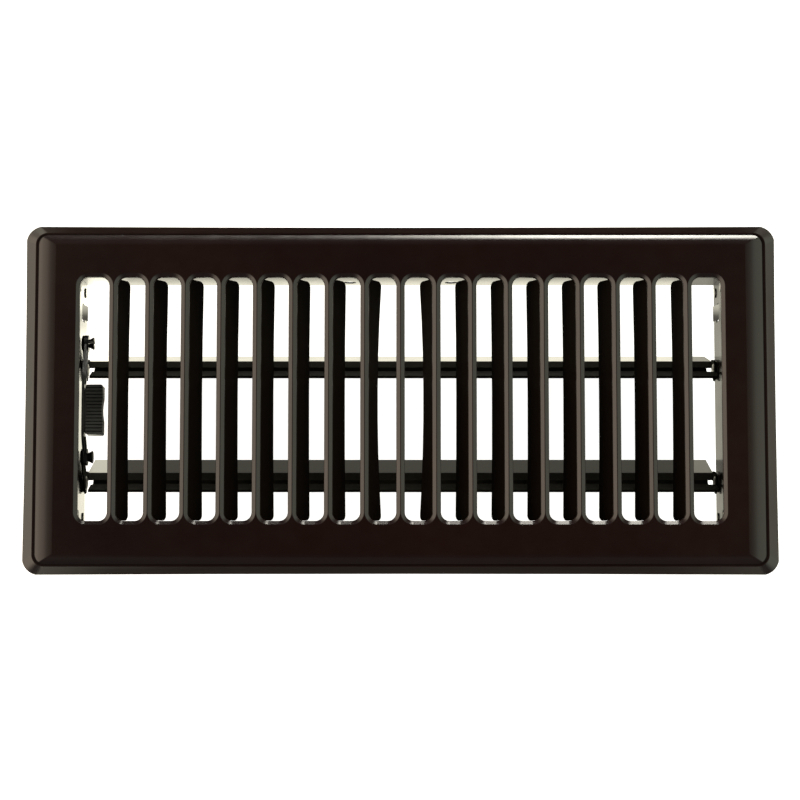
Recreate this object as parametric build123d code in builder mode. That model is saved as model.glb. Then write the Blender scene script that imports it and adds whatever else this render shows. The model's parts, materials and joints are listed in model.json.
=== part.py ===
from build123d import *

import os
from math import asin, cos, radians, sin

# Drop-in floor register for a 4 x 10 in floor opening, in millimetres.
# Origin: centre of the flange's seating plane, which is the finished floor.
# +Z points up out of the floor, +X along the length, +Y towards the back wall.

# Face plate: one stamped sheet
FACE_LENGTH = 290.9
FACE_WIDTH = 135.4
FACE_TOP = 5.0
FACE_SHEET = 0.7
RIM_CUT = 5.2
RIM_CUT_DEPTH = 1.85
RIM_BOW = 0.35
END_BEVEL = 4.0
SIDE_BEVEL = 3.0
BEVEL_TOP = 3.5
BEVEL_TOP_RADIUS = 4.6
BEVEL_FOOT_INSET = 1.0
LAND_WIDTH = 0.5
LEDGE_DROP = 0.35
LEDGE_RADIUS = 4.0
END_SHOULDER_INSET = 5.3
SIDE_SHOULDER_INSET = 3.95
SHOULDER_OVERRUN = 1.0
END_CROWN_INSET = 12.0
SIDE_CROWN_INSET = 7.8
END_CROWN_RADIUS = 17.0
SIDE_CROWN_RADIUS = 6.2

# Slots, bars and louvre fins
BAR_WIDTH = 3.3
BAR_PITCH = 13.88
BARS_EACH_SIDE = 8
FIELD_HALF_LENGTH = 124.0
SLOT_LENGTH = 94.4
SLOT_RADIUS = 3.3
LIP_WIDTH = 1.5
LIP_DROP = 0.8
LIP_CREST_RADIUS = 0.5
LIP_EDGE_RADIUS = 0.4
COLLAR_DEPTH = 2.4
FIN_ROOT_DROP = 1.1
FIN_ROOT_INSET = 0.55
FIN_DEPTH = 10.3
FIN_REACH = 4.85
END_FIN_REACH = 3.95
FIN_HALF_LENGTH = 46.7
FIN_CORNER = 2.3
FIN_BOW = 0.4
CENTRE_FIN_BOW = 1.5

# Damper box
BOX_SHEET = 0.6
BOX_INNER_HALF_LENGTH = 124.8
BOX_INNER_HALF_WIDTH = 48.6
BOX_BOTTOM = -26.0
WELD_GAP = 0.05
FLANGE_TOP = FACE_TOP - FACE_SHEET - WELD_GAP
WALL_BEND_RADIUS = 0.55
FLANGE_REACH = 6.8
FLANGE_CORNER_GAP = 3.0
CORNER_TAB_WIDTH = 11.0
SCREW_HOLE_RADIUS = 2.5
SCREW_HOLE_SPACING = 40.0
SCREW_HOLE_Z = -19.0

# Stop tabs lanced out of the end walls
STOP_Y = 35.9
STOP_WIDTH = 5.9
STOP_ROOT_Z = -11.0
STOP_TIP_Z = -18.2
STOP_REACH = 1.3
STOP_RELIEF = 0.6

# Damper blades and their pivots
BLADE_SHEET = 0.5
BACK_PIVOT_Y = 13.5
FRONT_PIVOT_Y = -31.0
PIVOT_Z = -19.0
NEAR_FLANGE = 12.5
NEAR_TILT = 17.0
BAND = 10.0
BAND_TILT = 27.0
WING = 24.3
FRONT_WING_TILT = 17.0
BACK_WING_TILT = 11.5
BEAD_HALF_WIDTH = 1.9
BEAD_HEIGHT = 1.3
BEND_RADIUS = 0.8
HEM_WIDTH = 2.6
HEM_OVERLAP = 1.1
BLADE_HALF_LENGTH = 123.8
NEAR_FLANGE_LEFT_END = -121.3
RELIEF_RADIUS = 3.5
RELIEF_START = 120.6
EAR_INNER = 123.5
EAR_SHEET = 0.6
EAR_PIVOT_RADIUS = 4.2
EAR_CRANK_RADIUS = 3.2
EAR_ROOT = 8.0
EAR_ROOT_RADIUS = 1.6
CRANK_Y = 9.3
CRANK_Z = 11.1

# Rivets, bushings and pins
PIVOT_RADIUS = 1.6
RUNNING_CLEARANCE = 0.05
SEAT_CLEARANCE = 0.02
BUSHING_FLANGE_RADIUS = 3.6
BUSHING_BARREL_RADIUS = 2.6
BUSHING_FLANGE = 0.45
BUSHING_LIP = 0.35
BUSHING_LIP_RADIUS = 3.0
BUSHING_EDGE_BREAK = 0.2
PIVOT_END_PLAY = 0.2
PIVOT_HEAD_RADIUS = 2.7
PIVOT_HEAD = 0.8
CORNER_RIVET_RADIUS = 1.45
CORNER_RIVET_HEAD_RADIUS = 2.4
CORNER_RIVET_INNER_RADIUS = 2.0
CORNER_RIVET_HEAD = 0.7
CORNER_RIVET_INNER_HEAD = 0.45
RIVET_EDGE_BREAK = 0.2
DOME_STEPS = 4
CORNER_RIVET_Y = 44.5
CORNER_RIVET_HEIGHTS = (-3.0, -20.0)

# Link and thumb knob
LINK_OUTER = -123.2
LINK_WEB = 1.0
LINK_RIB = 0.5
LINK_BAND = 5.4
LINK_RIB_BAND = 1.6
LINK_BOSS_RADIUS = 3.3
LINK_CREST_Z = -1.0
LINK_CREST_BACK_Y = 8.5
LINK_CREST_FRONT_Y = -13.5
LINK_BEND_RADIUS = 5.0
SNAP_PIN_RADIUS = 1.6
SNAP_HEAD_RADIUS = 2.6
SNAP_HEAD = 0.3
PRONG_LENGTH = 1.9
PRONG_FLARE = 2.5
PRONG_GAP = 1.1
PRONG_TIP = 0.25
PRONG_TIP_INSET = 0.35
PIN_EDGE_BREAK = 0.15
KNOB_Y = -4.1
KNOB_LENGTH = 19.3
KNOB_WIDTH = 6.6
KNOB_INNER = -114.9
KNOB_TOP = 3.1
KNOB_BOTTOM = -4.2
KNOB_SADDLE = 1.3
KNOB_WAIST = 0.45
KNOB_WAIST_HALF_LENGTH = 4.2
KNOB_CORNER = 0.8
RIB_PITCH = 1.3
RIB_HEIGHT = 0.45
RIB_COUNT = 15
NECK_LENGTH = 17.3
NECK_HEIGHT = 4.4
PEG_RADIUS = 1.1
PEG_SPACING = 10.0

ENDS = {"left": -1, "right": 1}
SIDES = {"front": -1, "back": 1}
PIVOT_YS = {"front": FRONT_PIVOT_Y, "back": BACK_PIVOT_Y}


# ---------------------------------------------------------------- face plate


def rounded_outline(half_x, half_y, cut, cut_depth, bow):
    """Rectangle with arcs across its corners; a bow bends each side inwards at its middle."""
    for sign_x in (1, -1):
        for sign_y in (1, -1):
            ThreePointArc(
                (sign_x * half_x, sign_y * (half_y - cut)),
                (sign_x * (half_x - cut_depth), sign_y * (half_y - cut_depth)),
                (sign_x * (half_x - cut), sign_y * half_y),
            )
    for sign in (1, -1):
        side_ends = (sign * half_x, cut - half_y), (sign * half_x, half_y - cut)
        end_ends = (cut - half_x, sign * half_y), (half_x - cut, sign * half_y)
        if bow:
            ThreePointArc(side_ends[0], (sign * (half_x - bow), 0), side_ends[1])
            ThreePointArc(end_ends[0], (0, sign * (half_y - bow)), end_ends[1])
        else:
            Line(*side_ends)
            Line(*end_ends)


def bevel_block(foot_inset, top_z, end_inset, side_inset, top_radius):
    """Solid under the bevelled rim, from the seating plane up to top_z."""
    half_x = FACE_LENGTH / 2
    half_y = FACE_WIDTH / 2
    top_cut_depth = top_radius * (1 - cos(radians(45)))
    with BuildPart() as block:
        with BuildSketch(Plane.XY):
            with BuildLine():
                rounded_outline(half_x - foot_inset, half_y - foot_inset, RIM_CUT, RIM_CUT_DEPTH, RIM_BOW)
            make_face()
        with BuildSketch(Plane.XY.offset(top_z)):
            with BuildLine():
                rounded_outline(half_x - end_inset, half_y - side_inset, top_radius, top_cut_depth, 0)
            make_face()
        loft()
    return block.part


def shoulder_section(foot, crown, crown_z, crown_radius):
    """Closed outline of the pillow across one direction: flat crown with a round shoulder each side."""
    turn = asin((foot - crown) / crown_radius)
    centre_z = crown_z - crown_radius
    middle = (crown + crown_radius * sin(turn / 2), centre_z + crown_radius * cos(turn / 2))
    foot_z = centre_z + crown_radius * cos(turn)
    with BuildLine() as outline:
        Polyline((-foot, foot_z), (-foot, 0), (foot, 0), (foot, foot_z))
        ThreePointArc((foot, foot_z), middle, (crown, crown_z))
        Line((crown, crown_z), (-crown, crown_z))
        ThreePointArc((-crown, crown_z), (-middle[0], middle[1]), (-foot, foot_z))
    return outline.wires()[0]


def shoulder_block(thickness):
    """Pillow solid, thickness below the outside: wide shoulders at the ends, tight ones at the sides."""
    crown_z = FACE_TOP - thickness
    foot_x = FACE_LENGTH / 2 - END_SHOULDER_INSET - thickness
    foot_y = FACE_WIDTH / 2 - SIDE_SHOULDER_INSET - thickness
    crown_x = FACE_LENGTH / 2 - END_CROWN_INSET
    crown_y = FACE_WIDTH / 2 - SIDE_CROWN_INSET
    end_section = shoulder_section(
        foot_x + SHOULDER_OVERRUN, crown_x, crown_z, END_CROWN_RADIUS - thickness
    )
    side_section = shoulder_section(
        foot_y + SHOULDER_OVERRUN, crown_y, crown_z, SIDE_CROWN_RADIUS - thickness
    )
    with BuildPart() as block:
        with BuildSketch(Plane.XZ):
            make_face(end_section.edges())
        extrude(amount=FACE_WIDTH / 2, both=True)
        with BuildSketch(Plane.YZ):
            make_face(side_section.edges())
        extrude(amount=FACE_LENGTH / 2, both=True, mode=Mode.INTERSECT)
        with BuildSketch(Plane.XY):
            RectangleRounded(2 * foot_x, 2 * foot_y, LEDGE_RADIUS - thickness)
        extrude(amount=FACE_TOP, mode=Mode.INTERSECT)
    return block.part


def slots():
    """Centre and width of each slot along X; the two end slots are a little wider."""
    inner_width = BAR_PITCH - BAR_WIDTH
    last_bar_edge = BARS_EACH_SIDE * BAR_PITCH + BAR_WIDTH / 2
    end_width = FIELD_HALF_LENGTH - last_bar_edge
    end_centre = (FIELD_HALF_LENGTH + last_bar_edge) / 2
    inner = [((k + 0.5) * BAR_PITCH, inner_width) for k in range(-BARS_EACH_SIDE, BARS_EACH_SIDE)]
    return [(-end_centre, end_width), *inner, (end_centre, end_width)]


def fin_section(edge_x, side, reach):
    """Cross-section of a louvre fin that hangs from a bar edge and leans sideways."""
    top_z = FACE_TOP - LIP_DROP - FIN_ROOT_DROP
    bottom_z = FACE_TOP - FIN_DEPTH
    Polyline(
        (edge_x - side * FIN_ROOT_INSET, top_z),
        (edge_x, top_z),
        (edge_x + side * reach, bottom_z),
        (edge_x + side * (reach - FACE_SHEET), bottom_z),
        close=True,
    )


def louvre_fin(bar, side):
    """One fin along a bar, bowed slightly towards that bar at mid-length."""
    edge_x = bar * BAR_PITCH + side * BAR_WIDTH / 2
    reach = END_FIN_REACH if abs(bar) == BARS_EACH_SIDE else FIN_REACH
    bow = CENTRE_FIN_BOW if abs(bar) == 1 else FIN_BOW
    with BuildPart() as fin:
        for y, local_reach in (
            (-FIN_HALF_LENGTH, reach),
            (0, reach - bow),
            (FIN_HALF_LENGTH, reach),
        ):
            with BuildSketch(Plane.XZ.offset(-y)):
                with BuildLine():
                    fin_section(edge_x, side, local_reach)
                make_face()
        loft()
        with BuildSketch(Plane.YZ):
            with Locations((0, FACE_TOP - FIN_DEPTH / 2)):
                RectangleRounded(2 * FIN_HALF_LENGTH, FIN_DEPTH, FIN_CORNER)
        extrude(amount=FACE_LENGTH / 2, both=True, mode=Mode.INTERSECT)
    return fin.part


with BuildPart() as face_plate:
    add(bevel_block(0, BEVEL_TOP, END_BEVEL, SIDE_BEVEL, BEVEL_TOP_RADIUS))
    with BuildSketch(Plane.XY.offset(BEVEL_TOP)):
        RectangleRounded(
            FACE_LENGTH - 2 * (END_BEVEL + LAND_WIDTH),
            FACE_WIDTH - 2 * (SIDE_BEVEL + LAND_WIDTH),
            LEDGE_RADIUS,
        )
    extrude(amount=-LEDGE_DROP, mode=Mode.SUBTRACT)
    add(shoulder_block(0))
    hollow_top = BEVEL_TOP - LEDGE_DROP - FACE_SHEET
    add(
        bevel_block(
            BEVEL_FOOT_INSET,
            hollow_top,
            BEVEL_FOOT_INSET + END_BEVEL * hollow_top / BEVEL_TOP,
            BEVEL_FOOT_INSET + SIDE_BEVEL * hollow_top / BEVEL_TOP,
            BEVEL_TOP_RADIUS - BEVEL_FOOT_INSET / 2,
        ),
        mode=Mode.SUBTRACT,
    )
    add(shoulder_block(FACE_SHEET), mode=Mode.SUBTRACT)
    with BuildSketch(Plane.XY.offset(FACE_TOP)):
        for slot_x, slot_width in slots():
            with Locations((slot_x, 0)):
                RectangleRounded(slot_width, SLOT_LENGTH, SLOT_RADIUS)
    extrude(amount=-FACE_TOP, mode=Mode.SUBTRACT)
    with BuildSketch(Plane.XY.offset(FACE_TOP)):
        for slot_x, slot_width in slots():
            with Locations((slot_x, 0)):
                RectangleRounded(
                    slot_width + 2 * FACE_SHEET,
                    SLOT_LENGTH + 2 * FACE_SHEET,
                    SLOT_RADIUS + FACE_SHEET,
                )
        for slot_x, slot_width in slots():
            with Locations((slot_x, 0)):
                RectangleRounded(slot_width, SLOT_LENGTH, SLOT_RADIUS, mode=Mode.SUBTRACT)
    extrude(amount=-COLLAR_DEPTH)
    # each slot has a sloping lip, so that a bar is a low ridge with a rounded crest
    crown_face = face_plate.faces().filter_by(Plane.XY).sort_by(Axis.Z)[-1]
    slot_rims = [edge for wire in crown_face.inner_wires() for edge in wire.edges()]
    chamfer(slot_rims, LIP_WIDTH, LIP_DROP, reference=crown_face)
    crown_face = face_plate.faces().filter_by(Plane.XY).sort_by(Axis.Z)[-1]
    fillet([edge for wire in crown_face.inner_wires() for edge in wire.edges()], LIP_CREST_RADIUS)
    lip_z = FACE_TOP - LIP_DROP
    lip_edges = face_plate.edges().filter_by_position(Axis.Z, lip_z - 0.001, lip_z + 0.001)
    fillet([edge for edge in lip_edges if abs(edge.center().Y) < SLOT_LENGTH / 2 + 0.001], LIP_EDGE_RADIUS)
    for bar in range(1, BARS_EACH_SIDE + 1):
        add(louvre_fin(-bar, 1))
        add(louvre_fin(bar, -1))


# ---------------------------------------------------------------- damper box


def side_wall(side):
    """Long wall with a welding flange under the face plate and a tab bent round each end wall."""
    inner_y = side * BOX_INNER_HALF_WIDTH
    outer_y = side * (BOX_INNER_HALF_WIDTH + BOX_SHEET)
    half_length = BOX_INNER_HALF_LENGTH + 2 * BOX_SHEET
    wall_height = FLANGE_TOP - BOX_BOTTOM
    with BuildPart() as wall:
        with BuildSketch(Plane.YZ):
            with BuildLine():
                Polyline(
                    (inner_y, BOX_BOTTOM),
                    (inner_y, FLANGE_TOP),
                    (outer_y + side * FLANGE_REACH, FLANGE_TOP),
                    (outer_y + side * FLANGE_REACH, FLANGE_TOP - BOX_SHEET),
                    (outer_y, FLANGE_TOP - BOX_SHEET),
                    (outer_y, BOX_BOTTOM),
                    close=True,
                )
            make_face()
            bend = vertices().sort_by_distance((outer_y, FLANGE_TOP - BOX_SHEET))[0]
            fillet(bend, WALL_BEND_RADIUS)
        extrude(amount=BOX_INNER_HALF_LENGTH - FLANGE_CORNER_GAP, both=True)
        with Locations((0, (inner_y + outer_y) / 2, BOX_BOTTOM + wall_height / 2 - BOX_SHEET)):
            Box(2 * half_length, BOX_SHEET, wall_height - 2 * BOX_SHEET)
        for end in ENDS.values():
            tab_x = end * (half_length - BOX_SHEET / 2)
            tab_y = side * (BOX_INNER_HALF_WIDTH + BOX_SHEET - CORNER_TAB_WIDTH / 2)
            with Locations((tab_x, tab_y, BOX_BOTTOM + wall_height / 2 - BOX_SHEET)):
                Box(BOX_SHEET, CORNER_TAB_WIDTH, wall_height - 3 * BOX_SHEET)
        with BuildSketch(Plane.XZ):
            with Locations((0, SCREW_HOLE_Z)):
                with GridLocations(SCREW_HOLE_SPACING, 0, 2, 1):
                    Circle(SCREW_HOLE_RADIUS)
        extrude(amount=FACE_WIDTH / 2, both=True, mode=Mode.SUBTRACT)
        with BuildSketch(Plane.YZ):
            for rivet_z in CORNER_RIVET_HEIGHTS:
                with Locations((side * CORNER_RIVET_Y, rivet_z)):
                    Circle(CORNER_RIVET_RADIUS + SEAT_CLEARANCE)
        extrude(amount=FACE_LENGTH / 2, both=True, mode=Mode.SUBTRACT)
    return wall.part


def end_wall(end):
    """End wall with a welding flange, bushing and rivet holes, and the lanced blade stop."""
    inner_x = end * BOX_INNER_HALF_LENGTH
    outer_x = end * (BOX_INNER_HALF_LENGTH + BOX_SHEET)
    half_width = BOX_INNER_HALF_WIDTH - RUNNING_CLEARANCE
    with BuildPart() as wall:
        with BuildSketch(Plane.XZ):
            with BuildLine():
                Polyline(
                    (inner_x, BOX_BOTTOM),
                    (inner_x, FLANGE_TOP),
                    (outer_x + end * FLANGE_REACH, FLANGE_TOP),
                    (outer_x + end * FLANGE_REACH, FLANGE_TOP - BOX_SHEET),
                    (outer_x, FLANGE_TOP - BOX_SHEET),
                    (outer_x, BOX_BOTTOM),
                    close=True,
                )
            make_face()
        extrude(amount=BOX_INNER_HALF_WIDTH - CORNER_TAB_WIDTH, both=True)
        with Locations(((inner_x + outer_x) / 2, 0, (BOX_BOTTOM + FLANGE_TOP) / 2 - BOX_SHEET)):
            Box(BOX_SHEET, 2 * half_width, FLANGE_TOP - BOX_BOTTOM - 2 * BOX_SHEET)
        with BuildSketch(Plane.YZ):
            for pivot_y in PIVOT_YS.values():
                with Locations((pivot_y, PIVOT_Z)):
                    Circle(BUSHING_BARREL_RADIUS + SEAT_CLEARANCE)
            for side in SIDES.values():
                for rivet_z in CORNER_RIVET_HEIGHTS:
                    with Locations((side * CORNER_RIVET_Y, rivet_z)):
                        Circle(CORNER_RIVET_RADIUS + SEAT_CLEARANCE)
            with Locations((STOP_Y, (STOP_ROOT_Z + STOP_TIP_Z) / 2)):
                Rectangle(STOP_WIDTH + 2 * STOP_RELIEF, STOP_ROOT_Z - STOP_TIP_Z)
        extrude(amount=FACE_LENGTH / 2, both=True, mode=Mode.SUBTRACT)
        with BuildSketch(Plane.XZ.offset(-STOP_Y)):
            with BuildLine():
                Polyline(
                    (outer_x, STOP_ROOT_Z + BOX_SHEET),
                    (inner_x, STOP_ROOT_Z + BOX_SHEET),
                    (inner_x - end * STOP_REACH, STOP_TIP_Z),
                    (outer_x - end * STOP_REACH, STOP_TIP_Z),
                    close=True,
                )
            make_face()
        extrude(amount=STOP_WIDTH / 2, both=True)
    return wall.part


with BuildPart() as side_wall_front:
    add(side_wall(SIDES["front"]))

with BuildPart() as side_wall_back:
    add(side_wall(SIDES["back"]))

with BuildPart() as end_wall_left:
    add(end_wall(ENDS["left"]))

with BuildPart() as end_wall_right:
    add(end_wall(ENDS["right"]))


def turned(end, y, z, points):
    """Solid of revolution about a line along X through (y, z); points are (distance from centre, radius)."""
    with BuildPart() as piece:
        with BuildSketch(Plane(origin=(0, y, z), x_dir=(1, 0, 0), z_dir=(0, -1, 0))):
            with BuildLine():
                Polyline(*[(end * x, radius) for x, radius in points], close=True)
            make_face()
        revolve(axis=Axis((0, y, z), (1, 0, 0)))
    return piece.part


def domed(foot, rise, radius):
    """Outline of a domed rivet head from its rim to its crown, as (distance along X, radius)."""
    angles = [radians(90 * step / DOME_STEPS) for step in range(DOME_STEPS)]
    return [*[(foot + rise * sin(angle), radius * cos(angle)) for angle in angles], (foot + rise, 0)]


def corner_rivets(end, side):
    """Two rivets through an end wall and the side wall's tab, with a crowned head outside."""
    inner = BOX_INNER_HALF_LENGTH
    outer = inner + 2 * BOX_SHEET
    profile = [
        (inner - CORNER_RIVET_INNER_HEAD, 0),
        (inner - CORNER_RIVET_INNER_HEAD, CORNER_RIVET_INNER_RADIUS - RIVET_EDGE_BREAK),
        (inner, CORNER_RIVET_INNER_RADIUS),
        (inner, CORNER_RIVET_RADIUS),
        (outer, CORNER_RIVET_RADIUS),
        *domed(outer, CORNER_RIVET_HEAD, CORNER_RIVET_HEAD_RADIUS),
    ]
    with BuildPart() as pair:
        for rivet_z in CORNER_RIVET_HEIGHTS:
            add(turned(end, side * CORNER_RIVET_Y, rivet_z, profile))
    return pair.part


def pivot_bushing(end, y):
    """Flanged plastic bearing snapped into the end wall."""
    wall_in = BOX_INNER_HALF_LENGTH
    wall_out = wall_in + BOX_SHEET
    bore = PIVOT_RADIUS + RUNNING_CLEARANCE
    return turned(
        end,
        y,
        PIVOT_Z,
        [
            (wall_in - BUSHING_FLANGE, bore),
            (wall_in - BUSHING_FLANGE, BUSHING_FLANGE_RADIUS - BUSHING_EDGE_BREAK),
            (wall_in - BUSHING_FLANGE + BUSHING_EDGE_BREAK, BUSHING_FLANGE_RADIUS),
            (wall_in, BUSHING_FLANGE_RADIUS),
            (wall_in, BUSHING_BARREL_RADIUS),
            (wall_out, BUSHING_BARREL_RADIUS),
            (wall_out, BUSHING_LIP_RADIUS),
            (wall_out + BUSHING_LIP, BUSHING_LIP_RADIUS - BUSHING_EDGE_BREAK),
            (wall_out + BUSHING_LIP, bore),
        ],
    )


def pivot_rivet(end, y):
    """Rivet set in a blade's ear; its shank turns in the bushing."""
    ear_face = EAR_INNER
    head_foot = BOX_INNER_HALF_LENGTH + BOX_SHEET + BUSHING_LIP + PIVOT_END_PLAY
    return turned(
        end,
        y,
        PIVOT_Z,
        [
            *reversed(domed(ear_face, -PIVOT_HEAD, PIVOT_HEAD_RADIUS)),
            (ear_face, PIVOT_RADIUS),
            (head_foot, PIVOT_RADIUS),
            *domed(head_foot, PIVOT_HEAD, PIVOT_HEAD_RADIUS),
        ],
    )


# ---------------------------------------------------------------- damper blades


def along(length, tilt):
    """Offset (y, z) down a sheet that leans towards +Y by tilt degrees from the vertical."""
    return Vector(length * sin(radians(tilt)), -length * cos(radians(tilt)))


def blade_section(section_plane, wing_tilt):
    """Bent sheet seen along X: near flange, bead over the pivot line, band, wing, hemmed edges."""
    near_edge = along(-NEAR_FLANGE, NEAR_TILT)
    near_foot = along(-BEAD_HALF_WIDTH, NEAR_TILT)
    band_top = along(BEAD_HALF_WIDTH, BAND_TILT)
    band_foot = along(BAND, BAND_TILT)
    wing_edge = band_foot + along(WING, wing_tilt)
    crest = Vector(cos(radians(NEAR_TILT)), sin(radians(NEAR_TILT))) * BEAD_HEIGHT
    hem_side = Vector(-cos(radians(wing_tilt)), -sin(radians(wing_tilt))) * BLADE_SHEET
    with BuildSketch(section_plane) as section:
        with BuildLine():
            FilletPolyline(
                near_edge, near_foot, crest, band_top, band_foot, wing_edge, radius=BEND_RADIUS
            )
        trace(line_width=BLADE_SHEET)
        for edge_point, back in (
            (wing_edge, -along(HEM_WIDTH, wing_tilt)),
            (near_edge, along(HEM_WIDTH, NEAR_TILT)),
        ):
            with BuildLine():
                Line(edge_point + hem_side, edge_point + hem_side + back)
            trace(line_width=BLADE_SHEET * HEM_OVERLAP)
            with Locations(edge_point + hem_side / 2):
                Circle(BLADE_SHEET)
    return section.sketch


def ear(end, pivot_y, with_crank):
    """Ear bent up at a blade's end: pivot hole, and on the left a crank arm for the link."""
    band_root = along(EAR_ROOT, BAND_TILT)
    ear_plane = Plane(
        origin=(end * (EAR_INNER + EAR_SHEET / 2), pivot_y, PIVOT_Z), x_dir=(0, 1, 0), z_dir=(1, 0, 0)
    )
    with BuildPart() as plate:
        with BuildSketch(ear_plane):
            Circle(EAR_PIVOT_RADIUS)
            with Locations(band_root):
                Circle(EAR_ROOT_RADIUS)
            make_hull()
        extrude(amount=EAR_SHEET / 2, both=True)
        if with_crank:
            with BuildSketch(ear_plane):
                Circle(EAR_PIVOT_RADIUS)
                with Locations((CRANK_Y, CRANK_Z)):
                    Circle(EAR_CRANK_RADIUS)
                make_hull()
            extrude(amount=EAR_SHEET / 2, both=True)
            with BuildSketch(ear_plane):
                with Locations((CRANK_Y, CRANK_Z)):
                    Circle(SNAP_PIN_RADIUS + RUNNING_CLEARANCE)
            extrude(amount=EAR_SHEET, both=True, mode=Mode.SUBTRACT)
        with BuildSketch(ear_plane):
            Circle(PIVOT_RADIUS + SEAT_CLEARANCE)
        extrude(amount=EAR_SHEET, both=True, mode=Mode.SUBTRACT)
    return plate.part


def damper_blade(pivot_y, wing_tilt):
    """One blade with its two ears, drawn at rest, which is fully open but for a slight lean."""
    section_plane = Plane(origin=(0, pivot_y, PIVOT_Z), x_dir=(0, 1, 0), z_dir=(1, 0, 0))
    with BuildPart() as blade:
        extrude(blade_section(section_plane, wing_tilt), amount=BLADE_HALF_LENGTH, both=True)
        # relief round the rivet heads at both ends
        for end in ENDS.values():
            with BuildSketch(section_plane.offset(end * RELIEF_START)):
                Circle(RELIEF_RADIUS)
            extrude(amount=end * RELIEF_RADIUS * 2, mode=Mode.SUBTRACT)
        # the near flange stops short of the link
        trim = BLADE_HALF_LENGTH + NEAR_FLANGE_LEFT_END
        with BuildSketch(section_plane.offset(-BLADE_HALF_LENGTH)):
            with Locations(along(-NEAR_FLANGE / 2 - BEND_RADIUS, NEAR_TILT)):
                Rectangle(NEAR_FLANGE, NEAR_FLANGE + 2 * BEND_RADIUS)
        extrude(amount=trim, mode=Mode.SUBTRACT)
        add(ear(ENDS["left"], pivot_y, True))
        add(ear(ENDS["right"], pivot_y, False))
    return blade.part


with BuildPart() as damper_blade_front:
    add(damper_blade(FRONT_PIVOT_Y, FRONT_WING_TILT))

with BuildPart() as damper_blade_back:
    add(damper_blade(BACK_PIVOT_Y, BACK_WING_TILT))


# ---------------------------------------------------------------- link and knob

BACK_CRANK = (BACK_PIVOT_Y + CRANK_Y, PIVOT_Z + CRANK_Z)
FRONT_CRANK = (FRONT_PIVOT_Y + CRANK_Y, PIVOT_Z + CRANK_Z)
LINK_PLANE = Plane(origin=(LINK_OUTER, 0, 0), x_dir=(0, 1, 0), z_dir=(1, 0, 0))
LINK_INNER = LINK_OUTER + LINK_WEB
PEG_YS = (KNOB_Y - PEG_SPACING / 2, KNOB_Y + PEG_SPACING / 2)


def link_path():
    """Arched centre line of the link, from one crank pin over the crest to the other."""
    FilletPolyline(
        BACK_CRANK,
        (LINK_CREST_BACK_Y, LINK_CREST_Z),
        (LINK_CREST_FRONT_Y, LINK_CREST_Z),
        FRONT_CRANK,
        radius=LINK_BEND_RADIUS,
    )


with BuildPart() as link_bar:
    with BuildSketch(LINK_PLANE):
        with BuildLine():
            link_path()
        trace(line_width=LINK_BAND)
        with Locations(BACK_CRANK, FRONT_CRANK):
            Circle(LINK_BOSS_RADIUS)
    extrude(amount=LINK_WEB)
    # thicker round the pins
    with BuildSketch(LINK_PLANE):
        with Locations(BACK_CRANK, FRONT_CRANK):
            Circle(LINK_BOSS_RADIUS)
    extrude(amount=LINK_WEB + LINK_RIB)
    # stiffening rib down the middle of each arm
    with BuildSketch(LINK_PLANE):
        with BuildLine():
            link_path()
        trace(line_width=LINK_RIB_BAND)
        with Locations((KNOB_Y, LINK_CREST_Z)):
            Rectangle(KNOB_LENGTH + LINK_WEB, LINK_BAND, mode=Mode.SUBTRACT)
    extrude(amount=LINK_WEB + LINK_RIB)
    with BuildSketch(LINK_PLANE):
        with Locations(BACK_CRANK, FRONT_CRANK):
            Circle(SNAP_PIN_RADIUS + SEAT_CLEARANCE)
        with Locations(*[(peg_y, LINK_CREST_Z) for peg_y in PEG_YS]):
            Circle(PEG_RADIUS + SEAT_CLEARANCE)
    extrude(amount=LINK_WEB + LINK_RIB, mode=Mode.SUBTRACT)


def snap_pin(crank, prong_angle):
    """Split pin: flat head behind the ear, shank through ear and link, two flared prongs."""
    head_x = -(EAR_INNER + EAR_SHEET + RUNNING_CLEARANCE)
    link_face = LINK_INNER + LINK_RIB
    with BuildPart() as pin:
        add(
            turned(
                -1,
                *crank,
                [
                    (-head_x + SNAP_HEAD, 0),
                    (-head_x + SNAP_HEAD, SNAP_HEAD_RADIUS - PIN_EDGE_BREAK),
                    (-head_x, SNAP_HEAD_RADIUS),
                    (-head_x, SNAP_PIN_RADIUS),
                    (-link_face - PIN_EDGE_BREAK, SNAP_PIN_RADIUS),
                    (-link_face - PRONG_LENGTH, PRONG_FLARE),
                    (-link_face - PRONG_LENGTH - PRONG_TIP, PRONG_FLARE - PRONG_TIP_INSET),
                    (-link_face - PRONG_LENGTH - PRONG_TIP, 0),
                ],
            )
        )
        prong_plane = Plane(
            origin=(link_face, *crank), x_dir=(0, 1, 0), z_dir=(1, 0, 0)
        ).rotated((prong_angle, 0, 0))
        with BuildSketch(prong_plane):
            Rectangle(3 * PRONG_FLARE, PRONG_GAP)
        extrude(amount=2 * PRONG_LENGTH, mode=Mode.SUBTRACT)
    return pin.part


with BuildPart() as snap_pin_back:
    add(snap_pin(BACK_CRANK, 80))

with BuildPart() as snap_pin_front:
    add(snap_pin(FRONT_CRANK, 15))

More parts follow.
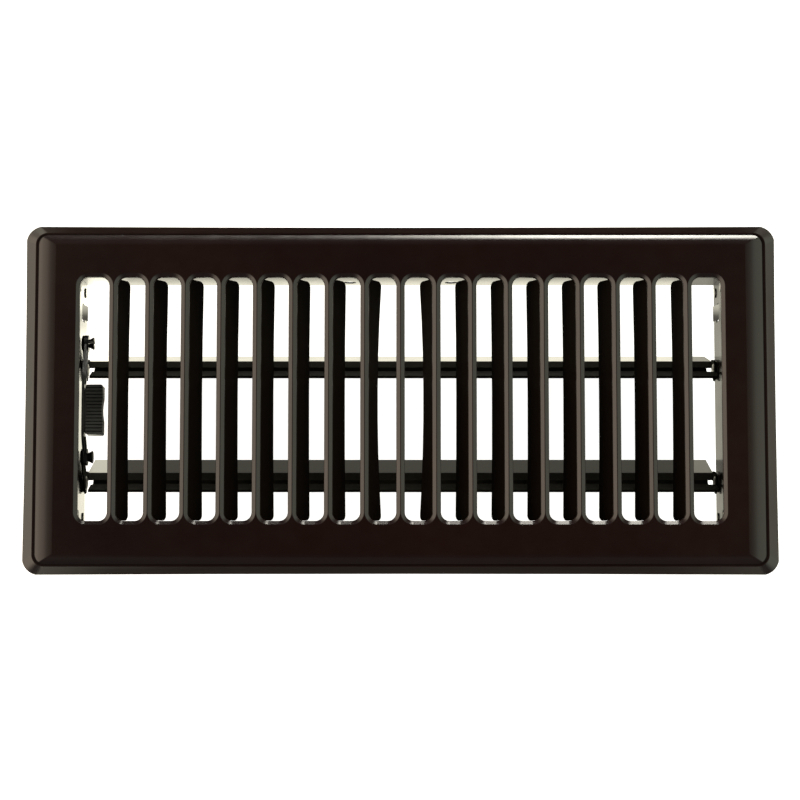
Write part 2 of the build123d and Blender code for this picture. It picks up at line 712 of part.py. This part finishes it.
with BuildPart() as thumb_knob:
    knob_centre_x = KNOB_INNER - KNOB_WIDTH / 2
    # ribbed block with a saddle-shaped top
    saddle_radius = ((KNOB_LENGTH / 2) ** 2 + KNOB_SADDLE**2) / (2 * KNOB_SADDLE)
    saddle_centre_z = KNOB_TOP - KNOB_SADDLE + saddle_radius
    with BuildSketch(Plane.XY.offset(KNOB_BOTTOM)):
        with Locations((knob_centre_x, KNOB_Y)):
            RectangleRounded(KNOB_WIDTH, KNOB_LENGTH, KNOB_CORNER)
        waist_radius = (KNOB_WAIST_HALF_LENGTH**2 + KNOB_WAIST**2) / (2 * KNOB_WAIST)
        waist_offset = KNOB_WIDTH / 2 - KNOB_WAIST + waist_radius
        with Locations((knob_centre_x - waist_offset, KNOB_Y), (knob_centre_x + waist_offset, KNOB_Y)):
            Circle(waist_radius, mode=Mode.SUBTRACT)
    extrude(amount=KNOB_TOP - KNOB_BOTTOM)
    with BuildSketch(Plane.YZ):
        with Locations((KNOB_Y, saddle_centre_z)):
            Circle(saddle_radius)
    extrude(amount=-FACE_LENGTH / 2, mode=Mode.SUBTRACT)
    # grooves between the ribs, cut down along the saddle
    with BuildSketch(Plane.YZ):
        for rib in range(RIB_COUNT - 1):
            groove_y = (rib + 1 - RIB_COUNT / 2) * RIB_PITCH
            groove_z = saddle_centre_z - (saddle_radius**2 - groove_y**2) ** 0.5
            with BuildLine():
                Polyline(
                    (KNOB_Y + groove_y - RIB_PITCH / 3, groove_z + RIB_HEIGHT),
                    (KNOB_Y + groove_y, groove_z - RIB_HEIGHT),
                    (KNOB_Y + groove_y + RIB_PITCH / 3, groove_z + RIB_HEIGHT),
                    close=True,
                )
            make_face()
    extrude(amount=-FACE_LENGTH / 2, mode=Mode.SUBTRACT)
    # neck and pegs that hold it to the link
    neck_depth = knob_centre_x - LINK_INNER
    with BuildSketch(Plane.YZ.offset(LINK_INNER)):
        with Locations((KNOB_Y, LINK_CREST_Z)):
            RectangleRounded(NECK_LENGTH, NECK_HEIGHT, KNOB_CORNER)
    extrude(amount=neck_depth)
    with BuildSketch(LINK_PLANE):
        with Locations(*[(peg_y, LINK_CREST_Z) for peg_y in PEG_YS]):
            Circle(PEG_RADIUS)
    extrude(amount=LINK_WEB + neck_depth)


# ---------------------------------------------------------------- export

nodes = {
    "face_plate": face_plate.part,
    "side_wall_front": side_wall_front.part,
    "side_wall_back": side_wall_back.part,
    "end_wall_left": end_wall_left.part,
    "end_wall_right": end_wall_right.part,
    "damper_blade_front": damper_blade_front.part,
    "damper_blade_back": damper_blade_back.part,
    "link_bar": link_bar.part,
    "thumb_knob": thumb_knob.part,
    "snap_pin_front": snap_pin_front.part,
    "snap_pin_back": snap_pin_back.part,
}
for side_name, pivot_y in PIVOT_YS.items():
    for end_name, end_sign in ENDS.items():
        corner = f"{side_name}_{end_name}"
        nodes[f"pivot_rivet_{corner}"] = pivot_rivet(end_sign, pivot_y)
        nodes[f"pivot_bushing_{corner}"] = pivot_bushing(end_sign, pivot_y)
        nodes[f"corner_rivets_{corner}"] = corner_rivets(end_sign, SIDES[side_name])

os.makedirs("parts", exist_ok=True)
for name, piece in nodes.items():
    piece.label = name
    export_step(piece, f"parts/{name}.step")
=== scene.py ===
import json

import bpy
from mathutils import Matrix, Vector


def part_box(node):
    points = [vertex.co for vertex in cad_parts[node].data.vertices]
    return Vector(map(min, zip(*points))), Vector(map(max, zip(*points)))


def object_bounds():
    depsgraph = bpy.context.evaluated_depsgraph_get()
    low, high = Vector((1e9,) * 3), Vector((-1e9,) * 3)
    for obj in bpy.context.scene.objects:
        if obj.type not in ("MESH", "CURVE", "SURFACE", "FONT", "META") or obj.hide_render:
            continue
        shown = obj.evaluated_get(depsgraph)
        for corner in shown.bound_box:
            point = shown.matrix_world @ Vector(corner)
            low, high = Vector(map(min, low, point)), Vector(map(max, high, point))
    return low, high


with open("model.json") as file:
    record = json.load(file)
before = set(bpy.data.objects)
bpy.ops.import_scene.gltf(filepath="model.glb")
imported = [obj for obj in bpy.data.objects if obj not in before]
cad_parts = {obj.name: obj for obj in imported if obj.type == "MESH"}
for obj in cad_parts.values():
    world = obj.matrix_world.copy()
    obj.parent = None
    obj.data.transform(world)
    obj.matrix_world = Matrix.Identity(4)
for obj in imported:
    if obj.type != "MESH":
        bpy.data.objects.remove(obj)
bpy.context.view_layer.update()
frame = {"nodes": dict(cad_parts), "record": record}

# ---------------------------------------------------------------- places, in metres

# The part's own frame: X along the face, Y across it, Z up out of it.
FACE_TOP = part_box("face_plate")[1].z
DAMPER_BOX_HALF_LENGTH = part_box("end_wall_right")[1].x
DAMPER_BOX_HALF_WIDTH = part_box("side_wall_back")[1].y

CAMERA_SIDE = -0.0002
CAMERA_BACK = 0.106
CAMERA_HEIGHT = 0.994
CAMERA_AIM_Y = -0.0007
CAMERA_LENS_MM = 116.87
CAMERA_SENSOR_MM = 36.0

FLOOR_GAP = 0.0006
FLOOR_SIZE = 8.0


# ---------------------------------------------------------------- node helpers

# Noise mostly stays between these two values.
NOISE_LOW = 0.3
NOISE_HIGH = 0.7

# A Mix node has several sockets of the same name, so its colour ones are found by number.
MIX_COLOUR_A = 6
MIX_COLOUR_B = 7
MIX_COLOUR_RESULT = 2


class Graph:
    """Short names for the shader nodes that the materials and the room share."""

    def __init__(self, owner, output="ShaderNodeOutputMaterial", place="Object"):
        owner.use_nodes = True
        self.owner = owner
        self.tree = owner.node_tree
        self.tree.nodes.clear()
        self.output = self.tree.nodes.new(output)
        self.place = self.tree.nodes.new("ShaderNodeTexCoord").outputs[place]

    def link(self, source, target):
        self.tree.links.new(source, target)

    def axes(self):
        node = self.tree.nodes.new("ShaderNodeSeparateXYZ")
        self.link(self.place, node.inputs["Vector"])
        return node.outputs["X"], node.outputs["Y"], node.outputs["Z"]

    def noise(self, scale, detail=2.0, roughness=0.5):
        node = self.tree.nodes.new("ShaderNodeTexNoise")
        node.inputs["Scale"].default_value = scale
        node.inputs["Detail"].default_value = detail
        node.inputs["Roughness"].default_value = roughness
        self.link(self.place, node.inputs["Vector"])
        return node.outputs["Fac"]

    def cells(self, scale):
        node = self.tree.nodes.new("ShaderNodeTexVoronoi")
        node.inputs["Scale"].default_value = scale
        self.link(self.place, node.inputs["Vector"])
        return node.outputs["Distance"]

    def math(self, operation, first, second=0.0):
        node = self.tree.nodes.new("ShaderNodeMath")
        node.operation = operation
        for socket, value in zip(node.inputs, (first, second)):
            if isinstance(value, (int, float)):
                socket.default_value = value
            else:
                self.link(value, socket)
        return node.outputs["Value"]

    def product(self, *values):
        result = values[0]
        for value in values[1:]:
            result = self.math("MULTIPLY", result, value)
        return result

    def total(self, *values):
        result = values[0]
        for value in values[1:]:
            result = self.math("ADD", result, value)
        return result

    def ramp(self, value, low, high, bottom=0.0, top=1.0, smooth=False):
        """From bottom at low to top at high, and level beyond them."""
        node = self.tree.nodes.new("ShaderNodeMapRange")
        if smooth:
            node.interpolation_type = "SMOOTHSTEP"
        node.inputs["From Min"].default_value = low
        node.inputs["From Max"].default_value = high
        node.inputs["To Min"].default_value = bottom
        node.inputs["To Max"].default_value = top
        self.link(value, node.inputs["Value"])
        return node.outputs["Result"]

    def spread(self, noise, bottom=0.0, top=1.0):
        """A noise stretched to run from bottom to top."""
        return self.ramp(noise, NOISE_LOW, NOISE_HIGH, bottom, top)

    def curve(self, value, points, smooth=False):
        """The height at value of a curve through points, which is level beyond its ends."""
        result = points[0][1]
        for (start, before), (end, after) in zip(points, points[1:]):
            step = self.ramp(value, start, end, 0.0, after - before, smooth)
            result = self.math("ADD", step, result)
        return result

    def mix(self, factor, first, second):
        node = self.tree.nodes.new("ShaderNodeMix")
        node.data_type = "RGBA"
        self.link(factor, node.inputs["Factor"])
        for number, value in ((MIX_COLOUR_A, first), (MIX_COLOUR_B, second)):
            socket = node.inputs[number]
            if isinstance(value, tuple):
                socket.default_value = (*value, 1.0)
            else:
                self.link(value, socket)
        return node.outputs[MIX_COLOUR_RESULT]

    def bump(self, height, distance, strength=1.0, normal=None):
        node = self.tree.nodes.new("ShaderNodeBump")
        node.inputs["Strength"].default_value = strength
        node.inputs["Distance"].default_value = distance
        self.link(height, node.inputs["Height"])
        if normal is not None:
            self.link(normal, node.inputs["Normal"])
        return node.outputs["Normal"]

    def principled(self, colour, roughness, normal, metallic=0.0, ior=1.5):
        node = self.tree.nodes.new("ShaderNodeBsdfPrincipled")
        self.link(colour, node.inputs["Base Color"])
        self.link(roughness, node.inputs["Roughness"])
        self.link(normal, node.inputs["Normal"])
        node.inputs["Metallic"].default_value = metallic
        node.inputs["IOR"].default_value = ior
        self.link(node.outputs["BSDF"], self.output.inputs["Surface"])
        return node


# ---------------------------------------------------------------- enamel

# Scales are in features per metre, heights and fades in metres.
DRIFT_SCALE = 11.0
STREAK_SCALE = 160.0
STREAK_ROUGHNESS = 0.02
PEEL_SCALE = 650.0
NIB_SCALE = 70.0
NIB_SIZE = 0.022  # of the space between two nibs
NIB_HEIGHT = 0.00006
NIB_STRENGTH = 0.7
NIB_COLOUR = (0.055, 0.045, 0.036)
NIB_TINT = 0.6

# Painted shade: a dull dark coat stands in for the shade inside the box. It starts below the face's
# bars, and on the blades at the upper edge of their wings.
PAINTED_SHADE_ROUGHNESS = 0.75
FIN_SHADE_TOP = FACE_TOP - 0.0012
FIN_SHADE_FADE = 0.001
BLADE_SHADE_BOTTOM = -0.0285
BLADE_SHADE_FADE = 0.0012


def inside_box(graph):
    """1 inside the damper box and the slots, 0 elsewhere: where shade is painted in as a dull dark
    coat.
    """
    x, y, z = graph.axes()
    length = DAMPER_BOX_HALF_LENGTH
    width = DAMPER_BOX_HALF_WIDTH
    return graph.product(
        graph.ramp(graph.math("ABSOLUTE", x), length, length - FIN_SHADE_FADE),
        graph.ramp(graph.math("ABSOLUTE", y), width, width - FIN_SHADE_FADE),
        graph.ramp(z, FIN_SHADE_TOP, FIN_SHADE_TOP - FIN_SHADE_FADE),
    )


def above_wings(graph):
    """1 on the upper part of the damper blades, 0 on the wings below it: where shade is painted in
    as a dull dark coat.
    """
    return graph.ramp(graph.axes()[2], BLADE_SHADE_BOTTOM, BLADE_SHADE_BOTTOM + BLADE_SHADE_FADE)


def enamel(name, dark, light, gloss, gloss_spread, peel, painted_shade=None, painted_shade_colour=None):
    """Baked enamel on steel: faint colour drift, orange peel, and dust nibs under the paint.

    Where the shade mask is 1, shade is painted in: a dull coat of the given shade colour.
    """
    graph = Graph(bpy.data.materials.new(name))
    drift = graph.noise(DRIFT_SCALE, detail=3.0, roughness=0.55)
    streaks = graph.noise(STREAK_SCALE)
    colour = graph.mix(graph.spread(drift), dark, light)
    roughness = graph.total(
        graph.spread(drift, gloss - gloss_spread, gloss + gloss_spread),
        graph.spread(streaks, -STREAK_ROUGHNESS, STREAK_ROUGHNESS),
    )
    if painted_shade is not None:
        # The mask where shade is painted in.
        shaded = painted_shade(graph)
        roughness = graph.total(roughness, graph.product(shaded, PAINTED_SHADE_ROUGHNESS))
        colour = graph.mix(shaded, colour, painted_shade_colour)
    nibs = graph.ramp(graph.cells(NIB_SCALE), 0.0, NIB_SIZE, 1.0, 0.0)
    normal = graph.bump(graph.noise(PEEL_SCALE, roughness=0.4), peel)
    normal = graph.bump(nibs, NIB_HEIGHT, NIB_STRENGTH, normal)
    colour = graph.mix(graph.product(nibs, NIB_TINT), colour, NIB_COLOUR)
    shader = graph.principled(colour, roughness, normal)
    if painted_shade is not None:
        # Painted shade: metallic takes away the clear gloss there and leaves the dull dark colour.
        graph.link(shaded, shader.inputs["Metallic"])
    return graph.owner


# ---------------------------------------------------------------- plastic and zinc

# In the same units.
PATCH_SCALE = 90.0
PATCH_LOW = 0.35
PATCH_TINT = 1.6
PATCH_ROUGHNESS = 0.07
GRAIN_SCALE = 2600.0

ZINC_DARK = (0.36, 0.355, 0.34)
ZINC_LIGHT = (0.56, 0.55, 0.53)
ZINC_ROUGHNESS = (0.28, 0.46)
ZINC_IOR = 2.2
BLOOM_SCALE = 300.0
TUMBLE_SCALE = 1800.0
TUMBLE_HEIGHT = 0.00002


def moulded(name, colour, roughness, grain):
    """Black moulded plastic with a fine grain and patches that are paler and duller."""
    graph = Graph(bpy.data.materials.new(name))
    patches = graph.noise(PATCH_SCALE, detail=3.0)
    pale = tuple(channel * PATCH_TINT for channel in colour)
    tint = graph.mix(graph.ramp(patches, PATCH_LOW, NOISE_HIGH), colour, pale)
    shine = graph.spread(patches, roughness - PATCH_ROUGHNESS, roughness + PATCH_ROUGHNESS)
    surface = graph.bump(graph.noise(GRAIN_SCALE, detail=3.0, roughness=0.6), grain)
    graph.principled(tint, shine, surface)
    return graph.owner


def zinc(name):
    """Dull zinc-plated steel with tumbling marks."""
    graph = Graph(bpy.data.materials.new(name))
    bloom = graph.noise(BLOOM_SCALE, detail=4.0, roughness=0.6)
    tint = graph.mix(graph.spread(bloom), ZINC_DARK, ZINC_LIGHT)
    shine = graph.spread(bloom, *ZINC_ROUGHNESS)
    marks = graph.bump(graph.noise(TUMBLE_SCALE), TUMBLE_HEIGHT)
    graph.principled(tint, shine, marks, metallic=1.0, ior=ZINC_IOR)
    return graph.owner


# ---------------------------------------------------------------- a material for every node

MATERIALS = {
    "face_enamel": enamel(
        "face_enamel_brown",
        dark=(0.0074, 0.0031, 0.0026),
        light=(0.0108, 0.0040, 0.0028),
        gloss=0.17,
        gloss_spread=0.02,
        peel=0.0000025,
        # Painted shade inside the slots and the box: a dull dark coat.
        painted_shade=inside_box,
        painted_shade_colour=(0.0110, 0.0072, 0.0048),
    ),
    "box_enamel": enamel(
        "box_enamel_brown",
        dark=(0.0100, 0.0070, 0.0058),
        light=(0.0135, 0.0085, 0.0065),
        gloss=0.15,
        gloss_spread=0.03,
        peel=0.000004,
    ),
    "blade_enamel": enamel(
        "blade_enamel_black",
        dark=(0.0058, 0.0056, 0.0045),
        light=(0.0085, 0.0080, 0.0060),
        gloss=0.13,
        gloss_spread=0.02,
        peel=0.000002,
        # Painted shade on the upper part of the blades: a dull dark coat.
        painted_shade=above_wings,
        painted_shade_colour=(0.0125, 0.0118, 0.0085),
    ),
    "link_plastic": moulded("link_plastic_black", (0.0065, 0.0068, 0.0068), 0.33, 0.000004),
    "knob_plastic": moulded("knob_plastic_black", (0.0052, 0.0060, 0.0058), 0.34, 0.000005),
    "bushing_plastic": moulded("bushing_nylon_black", (0.0090, 0.0090, 0.0088), 0.5, 0.000006),
    "rivet_steel": zinc("rivet_zinc"),
}

for subpart in frame["record"]["subparts"]:
    mesh = frame["nodes"][subpart["node"]].data
    mesh.materials.clear()
    mesh.materials.append(MATERIALS[subpart["material_slot"]])


# ---------------------------------------------------------------- floor

# The camera sees the floor plain white. The walls and blades mirror pools of light on it instead,
# given as (place in metres, brightness): under the box across its width and along its length, and
# far out on either side. The rest of the floor is dim, and darker behind the box.
WIDTH_POOLS = (
    (0.008, 0.0),
    (0.018, 1.3),
    (0.030, 1.3),
    (0.036, 0.10),
    (0.0405, 0.10),
    (0.0440, 2.0),
)
LENGTH_POOLS = ((-0.1185, 1.6), (-0.111, 0.0), (0.111, 0.0), (0.117, 0.42))
FAR_POOLS = ((-0.25, 1.7), (-0.15, 0.0), (0.15, 0.0), (0.25, 0.75))
REST_OF_FLOOR = ((0.05, 0.18), (0.10, 0.02))
POOL_COLOUR = (1.0, 0.96, 0.78)
POOL_PAINT = (0.03, 0.03, 0.03)

# The share left of a pool under the box: by the distance from the middle of its length and of its
# width, and for the pools across its width also towards the right end.
UNDER_LENGTH = ((0.125, 1.0), (0.135, 0.0))
UNDER_WIDTH = ((0.050, 1.0), (0.056, 0.0))
UNDER_RIGHT_END = ((0.111, 1.0), (0.117, 0.0))

FLOOR_WHITE = (1.0, 1.0, 0.99)
FLOOR_GLOW = 0.95
FLOOR_PAINT = (0.86, 0.86, 0.85)
FLOOR_ROUGHNESS = 0.9


def floor_material():
    """Plain white to the camera, and pools of light to everything that mirrors it."""
    graph = Graph(bpy.data.materials.new("studio_floor_white"))
    x, y, _ = graph.axes()
    under_box = graph.product(
        graph.curve(graph.math("ABSOLUTE", x), UNDER_LENGTH),
        graph.curve(graph.math("ABSOLUTE", y), UNDER_WIDTH),
    )
    pools = graph.total(
        graph.product(graph.curve(y, WIDTH_POOLS), graph.curve(x, UNDER_RIGHT_END), under_box),
        graph.product(graph.curve(x, LENGTH_POOLS), under_box),
        graph.curve(x, FAR_POOLS),
        graph.curve(y, REST_OF_FLOOR),
    )
    seen = graph.tree.nodes.new("ShaderNodeLightPath").outputs["Is Camera Ray"]
    unseen = graph.math("SUBTRACT", 1.0, seen)
    glow = graph.total(graph.product(pools, unseen), graph.product(seen, FLOOR_GLOW))
    shader = graph.tree.nodes.new("ShaderNodeBsdfPrincipled")
    shader.inputs["Roughness"].default_value = FLOOR_ROUGHNESS
    shader.inputs["Specular IOR Level"].default_value = 0.0
    graph.link(graph.mix(seen, POOL_COLOUR, FLOOR_WHITE), shader.inputs["Emission Color"])
    graph.link(graph.mix(seen, POOL_PAINT, FLOOR_PAINT), shader.inputs["Base Color"])
    graph.link(glow, shader.inputs["Emission Strength"])
    graph.link(shader.outputs["BSDF"], graph.output.inputs["Surface"])
    return graph.owner


def floor():
    """Wide floor just under the lowest blade edge."""
    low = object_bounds()[0][2] - FLOOR_GAP
    half = FLOOR_SIZE / 2
    mesh = bpy.data.meshes.new("studio_floor")
    corners = [(-half, -half, low), (half, -half, low), (half, half, low), (-half, half, low)]
    mesh.from_pydata(corners, [], [(0, 1, 2, 3)])
    mesh.materials.append(floor_material())
    board = bpy.data.objects.new("studio_floor", mesh)
    bpy.context.scene.collection.objects.link(board)


# ---------------------------------------------------------------- room

# Soft light boxes on the left and right: (tilt from straight up in degrees, radiance). Both fade
# out towards the front and back of the room, by how far the view direction leans that way.
LEFT_LIGHT = ((6, 0.0), (19, 0.45), (25, 0.75), (41, 2.3), (48, 2.7), (95, 2.4))
RIGHT_LIGHT = ((8, 0.0), (24, 0.45), (36, 1.1), (95, 1.3))
SIDE_LIGHT_FADE = ((0.45, 1.0), (0.80, 0.0))
LEFT_COLOUR = (1.0, 0.84, 0.66)
RIGHT_COLOUR = (0.93, 1.0, 0.79)

# A bright strip low at the back: its share by tilt in degrees, and by lean to the right.
STRIP_RADIANCE = 38.0
STRIP_TILT = ((57, 0.0), (63, 1.0), (84, 1.0), (88, 0.0))
STRIP_LEAN = ((0.012, 0.0), (0.055, 1.0), (0.100, 1.0), (0.150, 0.35), (0.20, 0.35), (0.26, 0.0))
STRIP_COLOUR = (1.0, 0.96, 0.86)

# The rest of the room is dim, and darker straight overhead.
ROOM_GLOW = ((0.8, 0.15), (1.0, 0.02))
GLOW_COLOUR = (0.9, 0.95, 1.0)


def room():
    """A dim room with a warm light box on the left, a greener one on the right, one strip behind."""
    graph = Graph(bpy.data.worlds.new("studio_room"), "ShaderNodeOutputWorld", "Generated")
    x, y, z = graph.axes()
    to_right = graph.math("DEGREES", graph.math("ARCTAN2", x, z))
    to_left = graph.product(to_right, -1.0)
    to_back = graph.math("DEGREES", graph.math("ARCTAN2", y, z))
    fade = graph.curve(graph.math("ABSOLUTE", y), SIDE_LIGHT_FADE, smooth=True)
    strip = graph.product(
        graph.curve(x, STRIP_LEAN, smooth=True),
        graph.curve(to_back, STRIP_TILT, smooth=True),
        STRIP_RADIANCE,
    )
    lights = (
        (graph.product(graph.curve(to_left, LEFT_LIGHT), fade), LEFT_COLOUR),
        (graph.product(graph.curve(to_right, RIGHT_LIGHT), fade), RIGHT_COLOUR),
        (strip, STRIP_COLOUR),
        (graph.curve(z, ROOM_GLOW), GLOW_COLOUR),
    )
    light = None
    for amount, colour in lights:
        box = graph.tree.nodes.new("ShaderNodeBackground")
        box.inputs["Color"].default_value = (*colour, 1.0)
        graph.link(amount, box.inputs["Strength"])
        if light is None:
            light = box.outputs["Background"]
        else:
            join = graph.tree.nodes.new("ShaderNodeAddShader")
            graph.link(light, join.inputs[0])
            graph.link(box.outputs["Background"], join.inputs[1])
            light = join.outputs["Shader"]
    graph.link(light, graph.output.inputs["Surface"])
    bpy.context.scene.world = graph.owner


# ---------------------------------------------------------------- camera


def camera():
    """Camera above the face, leaning a little towards the front edge, looking at its centre."""
    target = Vector((CAMERA_SIDE, CAMERA_AIM_Y, FACE_TOP))
    data = bpy.data.cameras.new("camera")
    data.lens = CAMERA_LENS_MM
    data.sensor_width = CAMERA_SENSOR_MM
    eye = bpy.data.objects.new("camera", data)
    eye.location = target + Vector((0, -CAMERA_BACK, CAMERA_HEIGHT))
    eye.rotation_euler = (target - eye.location).to_track_quat("-Z", "Y").to_euler()
    bpy.context.scene.collection.objects.link(eye)
    bpy.context.scene.camera = eye


floor()
room()
camera()
bpy.context.scene.view_settings.view_transform = "Standard"
bpy.context.scene.view_settings.look = "None"
